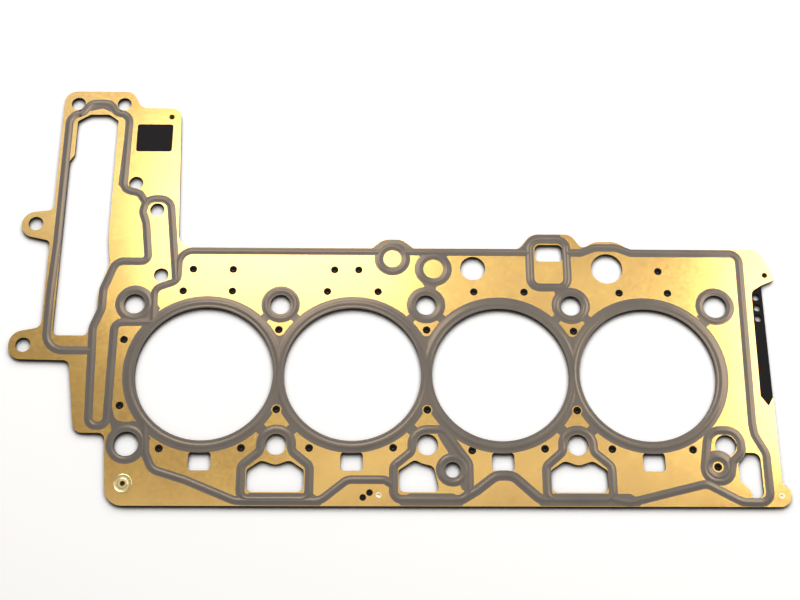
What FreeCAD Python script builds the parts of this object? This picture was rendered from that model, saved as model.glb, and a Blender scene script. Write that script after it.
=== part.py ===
import FreeCAD, Part

# Four-cylinder multi-layer steel cylinder head gasket, in millimetres.
# Two embossed spring-steel sheets lie above and below a thick carrier sheet, with a stopper
# ring welded round each cylinder opening. A hollow rivet and four clinch rivets hold the
# pack together. +X runs along the row of cylinders, +Z up through the pack. The origin is
# the centre of cylinder 1, in the plane that the gasket lies on.

import math
import os
import Sketcher

SIZES = [
    # alias, value, what it is
    ("bore_pitch", 91.0, "distance between cylinder centres"),
    ("opening_radius", 42.35, "cylinder opening in every layer"),
    ("bolt_row", 44.5, "distance of each row of head bolts from the cylinder line"),
    ("bolt_radius", 6.5, "head bolt hole"),
    ("dowel_radius", 7.5, "bolt hole that also takes a dowel sleeve"),
    ("end_bolt_inset", 1.2, "front end bolts stand this much nearer the middle"),
    ("functional_thickness", 0.25, "upper and lower sheet"),
    ("carrier_thickness", 1.15, "carrier between them"),
    ("bead_height", 0.22, "embossed bead above its sheet"),
    ("bore_land", 3.55, "cylinder opening to the crest of its bead"),
    ("bore_bead_width", 3.0, "bead round a cylinder"),
    ("seal_bead_width", 2.4, "bead round bolts, oil and coolant"),
    ("bolt_land", 2.8, "bolt hole to the crest of its bead"),
    ("dowel_land", 2.2, "dowel hole to the crest of its bead"),
    ("stopper_width", 2.0, "stopper ring, from the opening outward"),
    ("stopper_thickness", 0.09, "stopper ring"),
    ("coolant_radius", 2.4, "small coolant and vent holes in the embossed sheets"),
    ("metering_radius", 1.2, "the same holes in the carrier, which meter the flow"),
    ("case_hole_radius", 4.6, "holes of the chain case flange"),
    ("oil_port_radius", 4.7, "oil hole in the front loop"),
    ("small_port_radius", 7.95, "smaller round port at the back"),
    ("large_port_radius", 10.0, "larger round port at the back"),
    ("register_radius", 2.0, "pair of holes by the front edge, in the embossed sheets only"),
    ("grade_hole_radius", 2.3, "thickness grade holes in the edge notch"),
    ("grade_hole_pitch", 7.0, "spacing of the grade holes"),
    ("slot_length", 13.5, "rectangular coolant window, along the row"),
    ("slot_depth", 11.2, "rectangular coolant window, across the row"),
    ("slot_row", 54.9, "coolant windows in front of the cylinder line"),
    ("deck_back", 82.8, "back edge from the cylinder line"),
    ("deck_front", 81.7, "front edge from the cylinder line"),
    ("deck_end", 76.2, "right edge from the last cylinder"),
    ("case_top", 193.8, "far edge of the chain case flange"),
    ("eyelet_bore", 1.5, "hole through the hollow rivet"),
    ("eyelet_shank", 2.5, "outside of the hollow rivet's tube"),
    ("eyelet_flange", 5.7, "rolled flange of the hollow rivet"),
    ("clinch_shank", 1.3, "clinch rivet through the pack"),
    ("clinch_head", 1.8, "clinch rivet head"),
    ("clinch_rise", 0.12, "clinch rivet head above the sheet"),
]

ROOT = 0.1      # a bead solid reaches this far into its sheet
STATIONS = 4    # cylinders in the row

doc = FreeCAD.newDocument("head_gasket")
sheet = doc.addObject("Spreadsheet::Sheet", "sizes")
for row, (alias, value, note) in enumerate(SIZES, start=1):
    sheet.set(f"A{row}", alias)
    sheet.set(f"B{row}", str(value))
    sheet.set(f"C{row}", note)
    sheet.setAlias(f"B{row}", alias)
doc.recompute()


def size(alias):
    """Value of one driving dimension."""
    return float(sheet.get(alias))


PITCH = size("bore_pitch")
BACK = size("deck_back")
FRONT = -size("deck_front")
BOLT_ROW = size("bolt_row")
CASE_TOP = size("case_top")
BORE_BEAD = size("opening_radius") + size("bore_land")
BOLT_BEAD = size("bolt_radius") + size("bolt_land")
DOWEL_BEAD = size("dowel_radius") + size("dowel_land")
LAST = STATIONS - 1


def place(station, dx):
    """X of a point dx past a cylinder centre, counted in pitches from cylinder 1."""
    return station * PITCH + dx


def shift(station, points, dy=0.0):
    """Corner list moved to a station along the cylinder row."""
    return [(place(station, x), y + dy, r) for x, y, r in points]


# Paths are corner lists of (x, y, fillet radius)

def path_pieces(corners, closed):
    """Straight and round pieces of a filleted path, in order."""
    count = len(corners)
    marks = []
    for i, (x, y, radius) in enumerate(corners):
        here = FreeCAD.Vector(x, y, 0)
        if not closed and i in (0, count - 1):
            marks.append((here, here, None))
            continue
        back = FreeCAD.Vector(*corners[i - 1][:2], 0) - here
        ahead = FreeCAD.Vector(*corners[(i + 1) % count][:2], 0) - here
        back.normalize()
        ahead.normalize()
        half = back.getAngle(ahead) / 2
        if radius <= 0 or math.pi / 2 - half < 1e-4:
            marks.append((here, here, None))
            continue
        cut = radius / math.tan(half)
        middle = (back + ahead).normalize()
        centre = here + middle * (radius / math.sin(half))
        marks.append((here + back * cut, here + ahead * cut, centre - middle * radius))
    pieces = []
    for i in range(count if closed else count - 1):
        leave = marks[i][1]
        arrive, depart, crown = marks[(i + 1) % count]
        if leave.distanceToPoint(arrive) > 1e-6:
            pieces.append((leave, None, arrive))
        if crown is not None:
            pieces.append((arrive, crown, depart))
    return pieces


def path_wire(corners, closed, z=0.0):
    """Wire of lines and tangent arcs."""
    lift = FreeCAD.Vector(0, 0, z)
    edges = []
    for start, crown, end in path_pieces(corners, closed):
        if crown is None:
            edges.append(Part.makeLine(start + lift, end + lift))
        else:
            edges.append(Part.Arc(start + lift, crown + lift, end + lift).toShape())
    return Part.Wire(edges)


# Outline of the pack

def right_edge(notched):
    """Right end of the gasket, from the front corner up to the back corner."""
    end = size("deck_end")
    lower = [
        (81.0, FRONT, 7.0),
        (81.0, FRONT + 12.4, 5.0),
        (end, FRONT + 12.8, 3.0),
    ]
    notch = [
        (end - 0.2, -14.6, 0.5),
        (end - 3.2, -19.9, 0.4),
        (end - 7.6, -13.6, 0.5),
        (end - 6.6, 54.6, 5.0),
        (end + 0.9, 59.4, 3.0),
    ]
    plain = [(end, 58.9, 3.0)]
    upper = [(85.6, 62.9, 3.0), (76.6, BACK + 0.4, 8.0)]
    return shift(LAST, lower + (notch if notched else plain) + upper)


def back_edge():
    """Back edge with its three bumps, from right to left."""
    hole_bump = [
        (-6.5, BACK, 5.0), (-14.4, BACK + 5.2, 12.0),
        (-29.0, BACK + 5.2, 12.0), (-36.4, BACK, 4.0),
    ]
    port_bump = [
        (47.4, BACK + 10.2, 7.0), (22.2, BACK + 10.2, 9.0), (14.3, BACK, 6.0),
    ]
    ring_bump = [
        (38.1, BACK, 4.0), (30.4, BACK + 6.3, 10.0),
        (18.6, BACK + 6.3, 10.0), (11.2, BACK, 4.0),
    ]
    return shift(LAST, hole_bump) + shift(2, port_bump) + shift(1, ring_bump)


def case_edge():
    """Chain case flange and its two tabs, down to the front left corner."""
    return [
        (-20.5, BACK, 8.5), (-24.3, CASE_TOP - 12.0, 7.0),
        (-50.5, CASE_TOP - 12.0, 6.0), (-57.0, CASE_TOP, 7.0), (-101.7, CASE_TOP, 8.0),
        (-101.7, 107.9, 3.5), (-121.0, 105.6, 8.6), (-121.0, 90.7, 8.2),
        (-102.2, 86.6, 3.0), (-102.0, 28.8, 5.0), (-121.0, 25.2, 8.6),
        (-121.0, 8.2, 8.0), (-83.2, 7.5, 4.0), (-76.6, -37.9, 6.0),
        (-57.8, -37.9, 4.0), (-54.4, FRONT, 11.0),
    ]


def outline(notched):
    """Closed outline of a sheet, anticlockwise from the front right corner."""
    return right_edge(notched) + back_edge() + case_edge()


# Openings

CASE_WINDOW = [
    (-94.9, 23.5, 4.0), (-73.4, 23.5, 3.5), (-72.6, 29.5, 8.0), (-68.7, 40.0, 5.0),
    (-68.6, 52.5, 8.0), (-62.9, 71.5, 5.0), (-65.2, 88.0, 12.0), (-65.2, CASE_TOP - 21.6, 1.5),
    (-71.5, CASE_TOP - 17.0, 3.0), (-84.0, CASE_TOP - 17.2, 3.0), (-91.8, CASE_TOP - 22.2, 2.0),
    (-91.8, CASE_TOP - 46.8, 2.0), (-94.8, CASE_TOP - 51.3, 2.0),
]
OIL_WINDOW = [
    (-17.1, -73.4, 4.0), (17.1, -73.4, 4.0), (17.1, -60.0, 2.5), (8.5, -54.2, 4.5),
    (0.0, -57.3, 7.0), (-8.5, -54.2, 4.5), (-17.1, -60.0, 2.5),
]
NARROW_OIL_WINDOW = [
    (-17.4, -73.3, 4.0), (6.5, -73.3, 2.5), (6.4, -69.0, 4.0), (3.7, -57.7, 4.0),
    (-3.2, -56.0, 4.0), (-7.7, -53.7, 3.5), (-17.4, -60.2, 1.5),
]
END_OIL_WINDOW = [
    (57.4, -76.7, 2.0), (64.7, -76.7, 4.5), (64.5, -49.0, 4.5), (54.8, -49.0, 2.5),
    (50.6, -56.0, 5.0), (51.0, -66.2, 5.0), (57.3, -72.6, 3.0),
]
PORT_WINDOW = [
    (24.1, 74.3, 3.0), (41.9, 74.3, 3.0), (41.9, 85.7, 3.5), (24.1, 85.7, 3.5),
]
MARK_WINDOW = [
    (-52.3, CASE_TOP - 43.8, 1.6), (-28.9, CASE_TOP - 43.8, 1.6),
    (-28.9, CASE_TOP - 24.0, 1.6), (-52.3, CASE_TOP - 24.0, 1.6),
]
# station, distance past it, Y
COOLANT_HOLES = [
    (0, -10.2, 67.8), (0, 14.9, 67.8), (0, 78.9, 67.9), (1, 3.1, 67.9), (3, 11.2, 67.9),
    (0, -15.8, 53.2), (0, 15.0, 53.2), (1, -16.4, 53.3), (1, 15.4, 53.3),
    (2, -15.3, 53.5), (2, 16.4, 53.5), (3, -14.5, 53.2), (3, 16.2, 53.2),
    (0.5, -0.6, 27.9), (1.5, 0.2, 28.1), (2.5, 0.9, 27.7),
    (0.5, -0.5, -23.0), (1.5, 0.2, -23.0), (2.5, 0.6, -23.1),
    (0, -50.4, 21.0), (0, -49.9, -20.9),
    (0, -24.5, -47.3), (0, 24.6, -46.9), (1, -25.6, -46.8), (1, 24.9, -46.5),
    (2, -18.5, -48.0), (2, 25.5, -46.9), (3, -24.8, -47.0), (3, 24.1, -47.2),
    (3, 38.4, -57.7),
]
CASE_HOLES = [
    (-92.4, CASE_TOP - 9.3), (-62.2, CASE_TOP - 9.3), (-50.4, 127.1), (-35.6, 108.4), (-30.2, 63.7),
    (-112.1, 98.4), (-112.1, 17.4),
]
REGISTER_HOLES = [(1, 10.9, -73.6), (1, 6.9, -76.5)]
SMALL_PORT = (2, -15.7, 69.3)
LARGE_PORT = (3, -21.4, 69.6)
OIL_PORT = (1.5, 15.1, -59.8)
GRADE_HOLES = (3, 72.2, 51.0)
EYELET = (-44.6, -68.5)
CLINCHES = [(0, -30.3, CASE_TOP - 18.5), (3, 79.1, 65.7), (3, 75.1, -75.3), (1, 16.3, -75.3)]

# Blind rings: sheet metal inside a ring of bead
BLIND_RINGS = [(1, 24.4, 75.6, 8.6), (1.5, 4.8, 68.8, 8.9)]


# Expressions on the size sheet
FUNCTIONAL = "sizes.functional_thickness"
BEAD = "sizes.bead_height"
CARRIER_LEVEL = f"{BEAD} + {FUNCTIONAL}"
TOP_LEVEL = f"{CARRIER_LEVEL} + sizes.carrier_thickness"


def draw_path(sketch, corners):
    """Closed filleted outline in a sketch."""
    for start, crown, end in path_pieces(corners, True):
        if crown is None:
            sketch.addGeometry(Part.LineSegment(start, end), False)
        else:
            sketch.addGeometry(Part.Arc(start, crown, end), False)


def draw_circle(sketch, x, y, radius):
    """Circle whose centre and radius follow expressions on the size sheet."""
    index = sketch.addGeometry(Part.Circle(FreeCAD.Vector(), FreeCAD.Vector(0, 0, 1), 1.0), False)
    rules = (
        (Sketcher.Constraint("Radius", index, 1.0), radius),
        (Sketcher.Constraint("DistanceX", -1, 1, index, 3, 1.0), x),
        (Sketcher.Constraint("DistanceY", -1, 1, index, 3, 1.0), y),
    )
    for rule, formula in rules:
        number = sketch.addConstraint(rule)
        sketch.setExpression(f"Constraints[{number}]", formula)


def at(station, dx):
    """Expression for the X of a point past a station."""
    return f"sizes.bore_pitch * {station} + {dx}"


def origin_part(body, role):
    """Plane or axis of a body's own origin."""
    return next(item for item in body.Origin.OriginFeatures if item.Role == role)


def flat_sketch(body, name):
    """Empty sketch on the body's XY plane."""
    sketch = body.newObject("Sketcher::SketchObject", name)
    sketch.AttachmentSupport = [(origin_part(body, "XY_Plane"), "")]
    sketch.MapMode = "FlatFace"
    return sketch


def punch(body, name, fill):
    """Pocket through the whole sheet of the shapes that fill() draws."""
    sketch = flat_sketch(body, name + "_sketch")
    fill(sketch)
    pocket = body.newObject("PartDesign::Pocket", name)
    pocket.Profile = sketch
    pocket.Type = "ThroughAll"
    pocket.Reversed = True
    return pocket


def along_row(body, name, pocket, gaps, occurrences):
    """Pocket repeated along the cylinder row."""
    pattern = body.newObject("PartDesign::LinearPattern", name)
    pattern.Originals = [pocket]
    pattern.Direction = (origin_part(body, "X_Axis"), [""])
    pattern.setExpression("Length", f"sizes.bore_pitch * {gaps}")
    pattern.Occurrences = occurrences
    body.Tip = pattern
    return pattern


def sheet_body(name, thickness, coolant, register):
    """Flat sheet with its outline and openings, which differ only in their smallest holes."""
    body = doc.addObject("PartDesign::Body", name)
    profile = flat_sketch(body, name + "_outline")
    draw_path(profile, outline(False))
    draw_path(profile, CASE_WINDOW)
    pad = body.newObject("PartDesign::Pad", name + "_plate")
    pad.Profile = profile
    pad.setExpression("Length", thickness)

    def cylinder(sketch):
        draw_circle(sketch, "0", "0", "sizes.opening_radius")

    def bolts(sketch):
        draw_circle(sketch, "sizes.bore_pitch / 2", "sizes.bolt_row", "sizes.bolt_radius")
        draw_circle(sketch, "sizes.bore_pitch / 2", "-sizes.bolt_row", "sizes.bolt_radius")

    def end_bolts(sketch):
        half = "sizes.bore_pitch / 2"
        end = f"sizes.bore_pitch * {LAST} + {half}"
        draw_circle(sketch, f"-{half}", "sizes.bolt_row", "sizes.bolt_radius")
        draw_circle(sketch, f"-{half} + sizes.end_bolt_inset", "-sizes.bolt_row",
                    "sizes.dowel_radius")
        draw_circle(sketch, end, "sizes.bolt_row", "sizes.dowel_radius")
        draw_circle(sketch, f"{end} - sizes.end_bolt_inset", "-sizes.bolt_row",
                    "sizes.bolt_radius")

    def slots(sketch):
        half_length = size("slot_length") / 2
        half_depth = size("slot_depth") / 2
        row = -size("slot_row")
        draw_path(sketch, [
            (-half_length, row - half_depth, 2.2), (half_length, row - half_depth, 2.2),
            (half_length, row + half_depth, 2.2), (-half_length, row + half_depth, 2.2),
        ])

    def windows(sketch):
        draw_path(sketch, shift(0.5, OIL_WINDOW))
        draw_path(sketch, shift(1.5, NARROW_OIL_WINDOW))
        draw_path(sketch, shift(2.5, OIL_WINDOW))
        draw_path(sketch, shift(LAST, END_OIL_WINDOW))
        draw_path(sketch, shift(2, PORT_WINDOW))

    def holes(sketch):
        for station, dx, y in COOLANT_HOLES:
            draw_circle(sketch, at(station, dx), str(y), coolant)
        for station, dx, y in REGISTER_HOLES if register else []:
            draw_circle(sketch, at(station, dx), str(y), "sizes.register_radius")
        for (station, dx, y), radius in (
            (SMALL_PORT, "small_port_radius"),
            (LARGE_PORT, "large_port_radius"),
            (OIL_PORT, "oil_port_radius"),
        ):
            draw_circle(sketch, at(station, dx), str(y), "sizes." + radius)
        for station, dx, y in CLINCHES:
            draw_circle(sketch, at(station, dx), str(y), "sizes.clinch_shank")

    def case_holes(sketch):
        for x, y in CASE_HOLES:
            draw_circle(sketch, str(x), str(y), "sizes.case_hole_radius")
        draw_circle(sketch, str(EYELET[0]), str(EYELET[1]), "sizes.eyelet_shank")

    opening = punch(body, name + "_cylinder", cylinder)
    along_row(body, name + "_cylinders", opening, LAST, STATIONS)
    bolt_pair = punch(body, name + "_bolt_pair", bolts)
    along_row(body, name + "_bolt_row", bolt_pair, LAST - 1, LAST)
    slot = punch(body, name + "_slot", slots)
    along_row(body, name + "_slots", slot, LAST, STATIONS)
    punch(body, name + "_end_bolts", end_bolts)
    punch(body, name + "_windows", windows)
    punch(body, name + "_holes", holes)
    body.Tip = punch(body, name + "_case_holes", case_holes)
    return body


# Embossed beads

def bead_section(start, direction, width):
    """Closed section of a bead, square to the path, with its root below the sheet's face."""
    side = FreeCAD.Vector(-direction.y, direction.x, 0)
    half = width / 2

    def point(across, up):
        return start + side * across + FreeCAD.Vector(0, 0, up)

    crown = Part.Arc(point(-half, 0), point(0, size("bead_height")), point(half, 0)).toShape()
    return Part.Wire([
        crown,
        Part.makeLine(point(half, 0), point(half, -ROOT)),
        Part.makeLine(point(half, -ROOT), point(-half, -ROOT)),
        Part.makeLine(point(-half, -ROOT), point(-half, 0)),
    ])


def bead_along(corners, closed=False):
    """Bead that follows a filleted path."""
    spine = path_wire(corners, closed)
    first = path_pieces(corners, closed)[0]
    direction = (first[2] - first[0]).normalize()
    pipe = Part.BRepOffsetAPI.MakePipeShell(spine)
    pipe.setBiNormalMode(FreeCAD.Vector(0, 0, 1))
    pipe.add(bead_section(first[0], direction, size("seal_bead_width")))
    pipe.build()
    pipe.makeSolid()
    return pipe.shape()


def ring_bead(x, y, radius, width):
    """Round bead about a hole."""
    start = FreeCAD.Vector(x + radius, y, 0)
    section = Part.Face(bead_section(start, FreeCAD.Vector(0, 1, 0), width))
    return section.revolve(FreeCAD.Vector(x, y, 0), FreeCAD.Vector(0, 0, 1), 360)


def bore_beads():
    """Beads round the cylinders: in each web two of them run together as one."""
    reach = 2 * BORE_BEAD
    beads = []
    for i in range(STATIONS):
        ring = ring_bead(i * PITCH, 0, BORE_BEAD, size("bore_bead_width"))
        left = -reach if i == 0 else -PITCH / 2
        right = reach if i == LAST else PITCH / 2
        corner = FreeCAD.Vector(i * PITCH + left, -reach, -1)
        beads.append(ring.common(Part.makeBox(right - left, 2 * reach, 2, corner)))
    return beads


def oil_loop(half_width, floor):
    """Bead path from a bolt hole's arch down round the oil window below it."""
    arch = BOLT_BEAD
    left = [(-arch, arch - BOLT_ROW, arch - 0.05), (-arch, -48.6, 5.0),
            (-half_width, -57.6, 5.0), (-half_width, floor, 5.0)]
    right = [(-x, y, r) for x, y, r in reversed(left)]
    return left + right


def bead_paths():
    """Open and closed bead paths, apart from the round ones."""
    arch = BOLT_BEAD
    crown = arch - BOLT_ROW
    edge = BACK - 2.5
    base = FRONT + 4.1
    narrow = oil_loop(20.4, base)[:4] + [(24.9, base, 7.0), (24.9, -56.0, 7.0),
                                         (arch + 0.6, crown, 7.0)]
    port = [(20.7, 56.7, 6.0), (44.3, 56.7, 6.0), (44.3, BACK + 6.5, 6.0), (20.7, BACK + 6.5, 7.0)]
    keyhole = [(43.5 - arch, crown, 8.5), (30.2, -59.0, 7.0), (32.0, -65.6, 7.0),
               (44.8, -67.0, 7.0), (47.6, -54.6, 4.0), (53.6, -49.0, 7.0), (53.3, crown, 8.5)]
    closed = [
        shift(0.5, oil_loop(20.4, base)),
        shift(1.5, narrow),
        shift(2.5, oil_loop(19.7, base)),
        shift(2, port),
        shift(LAST, keyhole),
    ]
    # An open path ends on the crest of the bead that it meets
    case = [
        (-69.7, 13.8, 0), (-98.3, 13.8, 11.0), (-98.6, 50.0, 0), (-97.4, 85.0, 0),
        (-97.2, CASE_TOP - 16.5, 7.5), (-89.0, CASE_TOP - 16.2, 5.0),
        (-84.0, CASE_TOP - 8.6, 6.0), (-71.5, CASE_TOP - 8.6, 6.0),
        (-66.5, CASE_TOP - 16.1, 5.0), (-57.9, CASE_TOP - 16.4, 7.0),
        (-58.4, 122.8, 6.0), (-47.5, 120.0, 4.0), (-43.4, 113.6, 0),
    ]
    flange = [
        (-21.3, 66.0, 0), (-27.4, 116.2, 7.4), (-43.0, 116.2, 7.0), (-44.8, 107.0, 5.0),
        (-42.0, 99.0, 8.0), (-38.8, 72.9, 4.0), (-59.0, 72.9, 7.0), (-65.7, 54.0, 8.0),
        (-65.7, 41.0, 7.0), (-70.2, 29.0, 8.0), (-69.2, 0.0, 0), (-68.0, -33.6, 5.2),
        (-57.0, -33.6, 5.2), (-57.0, 32.2, 5.0), (-32.6, 32.6, 0),
    ]
    front = [
        (-34.2, -31.0, 0), (-32.6, -50.0, 10.0), (-28.0, -60.0, 8.0), (-8.0, -66.2, 20.0),
        (22.0, base - 1.0, 12.0), (place(1, -18.5), base - 1.0, 10.0),
        (place(1, -2.5), -65.9, 8.0), (place(1, 20.0), -65.9, 6.0), (place(1, 25.5), -69.5, 0),
    ]
    return closed, [
        case,
        flange,
        front,
        [(place(1, 17.0), edge, 0), (-19.4, edge, 8.5), (-19.6, 60.0, 5.0), (-33.8, 54.6, 6.0),
         (-33.4, 31.6, 0)],
        [(place(1, 31.5), edge, 0), (place(2, 20.7), edge, 0)],
        shift(2, [(-22.6, -75.9, 0), (-16.0, -72.0, 6.0), (-4.5, -63.2, 9.0),
                  (5.5, -63.2, 9.0), (21.5, base, 8.0), (28.0, base, 0)]),
        shift(LAST, [
            (-46.8, edge, 0), (-37.5, edge, 5.0), (-28.5, edge + 3.6, 7.0),
            (-14.8, edge + 3.6, 7.0), (-5.5, edge, 6.0), (63.7, edge, 6.0),
            (61.6, -31.0, 8.0), (62.4, -38.0, 8.0), (68.3, -49.5, 8.0), (68.3, base - 1.4, 6.0),
            (51.5, base - 1.4, 12.0), (30.6, -67.9, 7.0), (-16.0, base - 1.7, 10.0),
            (-26.6, base + 0.4, 0),
        ]),
    ]


def bead_network():
    """All beads of a functional sheet as one solid, with the sheet's face at Z 0."""
    width = size("seal_bead_width")
    solids = bore_beads()
    for i in range(STATIONS):
        solids.append(ring_bead(place(i - 0.5, 0), BOLT_ROW, BOLT_BEAD, width))
    solids.append(ring_bead(place(LAST + 0.5, 0), BOLT_ROW, DOWEL_BEAD, width))
    solids.append(ring_bead(place(-0.5, size("end_bolt_inset")), -BOLT_ROW, DOWEL_BEAD, width))
    for station, dx, y, radius in BLIND_RINGS:
        solids.append(ring_bead(place(station, dx), y, radius, width))
    port = size("oil_port_radius") + 3.0
    solids.append(ring_bead(place(*OIL_PORT[:2]), OIL_PORT[2], port, width))
    station, dx, y = COOLANT_HOLES[-1]
    solids.append(ring_bead(place(station, dx), y, size("coolant_radius") + 3.8, width * 0.75))
    closed, opened = bead_paths()
    solids += [bead_along(corners, closed=True) for corners in closed]
    solids += [bead_along(corners) for corners in opened]
    for solid in solids:
        if not solid.isValid() or solid.Volume <= 0:
            raise RuntimeError("a bead did not build")
    return solids[0].multiFuse(solids[1:])


def solid_feature(name, shape):
    """Document object that holds a computed shape."""
    feature = doc.addObject("Part::Feature", name)
    feature.Shape = shape
    return feature


def prism(corners, height):
    """Upright prism over a filleted outline, from below Z 0."""
    face = Part.Face(path_wire(corners, True, -height))
    return face.extrude(FreeCAD.Vector(0, 0, 3 * height))


def embossed_sheet():
    """Functional sheet: punched blank with its beads pressed up and hollow below."""
    blank = sheet_body("functional_blank", FUNCTIONAL, "sizes.coolant_radius", True)
    doc.recompute()
    network = bead_network()
    crowns = network.copy()
    crowns.translate(FreeCAD.Vector(0, 0, size("functional_thickness")))
    solid_feature("bead_crowns", crowns)
    solid_feature("bead_hollows", network)
    pressed = blank.Shape.fuse(crowns).cut(network).removeSplitter()
    return solid_feature("formed_sheet", pressed)


def notch_corners():
    """Cut in the upper sheet's right edge that bares the carrier."""
    edge = size("deck_end")
    return shift(LAST, [
        (edge - 0.2, -14.6, 0.5), (edge - 3.2, -19.9, 0.4), (edge - 7.6, -13.6, 0.5),
        (edge - 6.6, 54.8, 5.0), (edge + 0.9, 59.4, 0), (edge + 6.0, 59.4, 0),
        (edge + 6.0, -14.6, 0),
    ])


def grade_hole_tool():
    """Three grade holes as cutting cylinders."""
    station, dx, y = GRADE_HOLES
    holes = [
        Part.makeCylinder(
            size("grade_hole_radius"), 2.0,
            FreeCAD.Vector(place(station, dx), y - i * size("grade_hole_pitch"), -1.0),
        )
        for i in range(3)
    ]
    return Part.makeCompound(holes)


def upper_sheet(formed):
    """Embossed sheet with the mark window and the edge notch cut out."""
    thickness = size("functional_thickness")
    windows = [prism(MARK_WINDOW, thickness), prism(notch_corners(), thickness)]
    result = solid_feature("upper_sheet", formed.Shape.cut(Part.makeCompound(windows)))
    result.setExpression("Placement.Base.z", TOP_LEVEL)
    return result


def lower_sheet(formed):
    """The same pressing turned over in height, with the grade holes through it."""
    turned = formed.Shape.mirror(FreeCAD.Vector(), FreeCAD.Vector(0, 0, 1))
    result = solid_feature("lower_sheet", turned.cut(grade_hole_tool()))
    result.setExpression("Placement.Base.z", CARRIER_LEVEL)
    return result


def carrier_sheet():
    """Carrier, with a seat for each stopper ring, metering holes and the grade holes."""
    body = sheet_body("carrier_sheet", "sizes.carrier_thickness", "sizes.metering_radius", False)

    def grade(sketch):
        station, dx, y = GRADE_HOLES
        for i in range(3):
            draw_circle(sketch, at(station, dx), f"{y} - {i} * sizes.grade_hole_pitch",
                        "sizes.grade_hole_radius")

    punch(body, "carrier_grade_holes", grade)
    seat_sketch = flat_sketch(body, "stopper_seat_sketch")
    seat_sketch.setExpression("AttachmentOffset.Base.z",
                              "sizes.carrier_thickness - sizes.stopper_thickness")
    draw_circle(seat_sketch, "0", "0", "sizes.opening_radius + sizes.stopper_width")
    seat = body.newObject("PartDesign::Pocket", "stopper_seat")
    seat.Profile = seat_sketch
    seat.Type = "ThroughAll"
    seat.Reversed = True
    along_row(body, "stopper_seats", seat, LAST, STATIONS)
    body.setExpression("Placement.Base.z", CARRIER_LEVEL)
    return body


def stopper_ring(number):
    """Thin ring that limits how far the beads are pressed, welded in its seat."""
    name = f"stopper_ring_{number + 1}"
    body = doc.addObject("PartDesign::Body", name)
    sketch = flat_sketch(body, name + "_sketch")
    draw_circle(sketch, "0", "0", "sizes.opening_radius")
    draw_circle(sketch, "0", "0", "sizes.opening_radius + sizes.stopper_width")
    pad = body.newObject("PartDesign::Pad", name + "_pad")
    pad.Profile = sketch
    pad.setExpression("Length", "sizes.stopper_thickness")
    body.setExpression("Placement.Base.x", f"sizes.bore_pitch * {number}")
    body.setExpression("Placement.Base.z", f"{TOP_LEVEL} - sizes.stopper_thickness")
    return body


def turned_shape(profile):
    """Solid of revolution about Z of (radius, z) corners."""
    points = [FreeCAD.Vector(r, 0, z) for r, z in profile]
    wire = Part.makePolygon(points + [points[0]])
    return Part.Face(wire).revolve(FreeCAD.Vector(), FreeCAD.Vector(0, 0, 1), 360)


def hollow_rivet():
    """Eyelet with a rolled flange on top and a flat one below."""
    low = size("bead_height")
    high = low + 2 * size("functional_thickness") + size("carrier_thickness")
    bore, shank, flange = size("eyelet_bore"), size("eyelet_shank"), size("eyelet_flange")
    foot = low - 0.18
    shape = turned_shape([
        (bore, foot), (flange - 1.2, foot), (flange - 1.2, low), (shank, low), (shank, high),
        (flange, high), (flange, high + 0.25), (flange - 0.5, high + 0.45),
        (flange - 1.4, high + 0.2), (shank + 0.9, high + 0.2), (shank + 0.2, high + 0.5),
        (bore + 0.2, high + 0.5), (bore, high + 0.3),
    ])
    rivet = solid_feature("hollow_rivet", shape)
    rivet.Placement.Base = FreeCAD.Vector(*EYELET, 0)
    return rivet


def clinch_rivets():
    """Four small dished rivets at the corners and by the front edge."""
    low = size("bead_height")
    high = low + 2 * size("functional_thickness") + size("carrier_thickness")
    shank, head, rise = size("clinch_shank"), size("clinch_head"), size("clinch_rise")
    one = turned_shape([
        (0, low - rise), (head, low - rise), (head, low), (shank, low), (shank, high),
        (head, high), (head, high + rise * 0.6), (head - 0.3, high + rise),
        (head - 0.6, high + rise), (0, high - 0.25),
    ])
    copies = []
    for station, dx, y in CLINCHES:
        copy = one.copy()
        copy.translate(FreeCAD.Vector(place(station, dx), y, 0))
        copies.append(copy)
    return solid_feature("clinch_rivets", Part.makeCompound(copies))


formed_sheet = embossed_sheet()
parts = [upper_sheet(formed_sheet), carrier_sheet(), lower_sheet(formed_sheet)]
parts += [stopper_ring(i) for i in range(STATIONS)]
parts += [hollow_rivet(), clinch_rivets()]
doc.recompute()

for item in doc.Objects:
    if "Invalid" in item.State or "Error" in item.State:
        raise RuntimeError(f"{item.Name} did not build: {item.State}")

os.makedirs("parts", exist_ok=True)
for part in parts:
    if part.Shape.isNull() or not part.Shape.isValid():
        raise RuntimeError(f"{part.Label} has no valid shape")
    part.Shape.exportStep(f"parts/{part.Label}.step")
    box = part.Shape.BoundBox
    print(f"{part.Label}: {len(part.Shape.Solids)} solid(s), volume {part.Shape.Volume:.1f}, "
          f"z {box.ZMin:.2f} to {box.ZMax:.2f}, "
          f"size {box.XLength:.1f} x {box.YLength:.1f} x {box.ZLength:.2f}")
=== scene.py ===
"""Looks of a four-cylinder multi-layer steel head gasket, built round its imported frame.

The sheets, rivets and stopper rings come from the frame and get their finishes here. The
screen-printed seal is added on both faces: rubber tracks that follow every embossed bead.
Sizes are in millimetres in the frame's axes, and become metres where a mesh is made.
"""

from __future__ import annotations

import logging
import math
from collections.abc import Iterable
from dataclasses import dataclass, field
from enum import Enum

import bmesh
import bpy
from mathutils import Matrix, Vector

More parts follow.
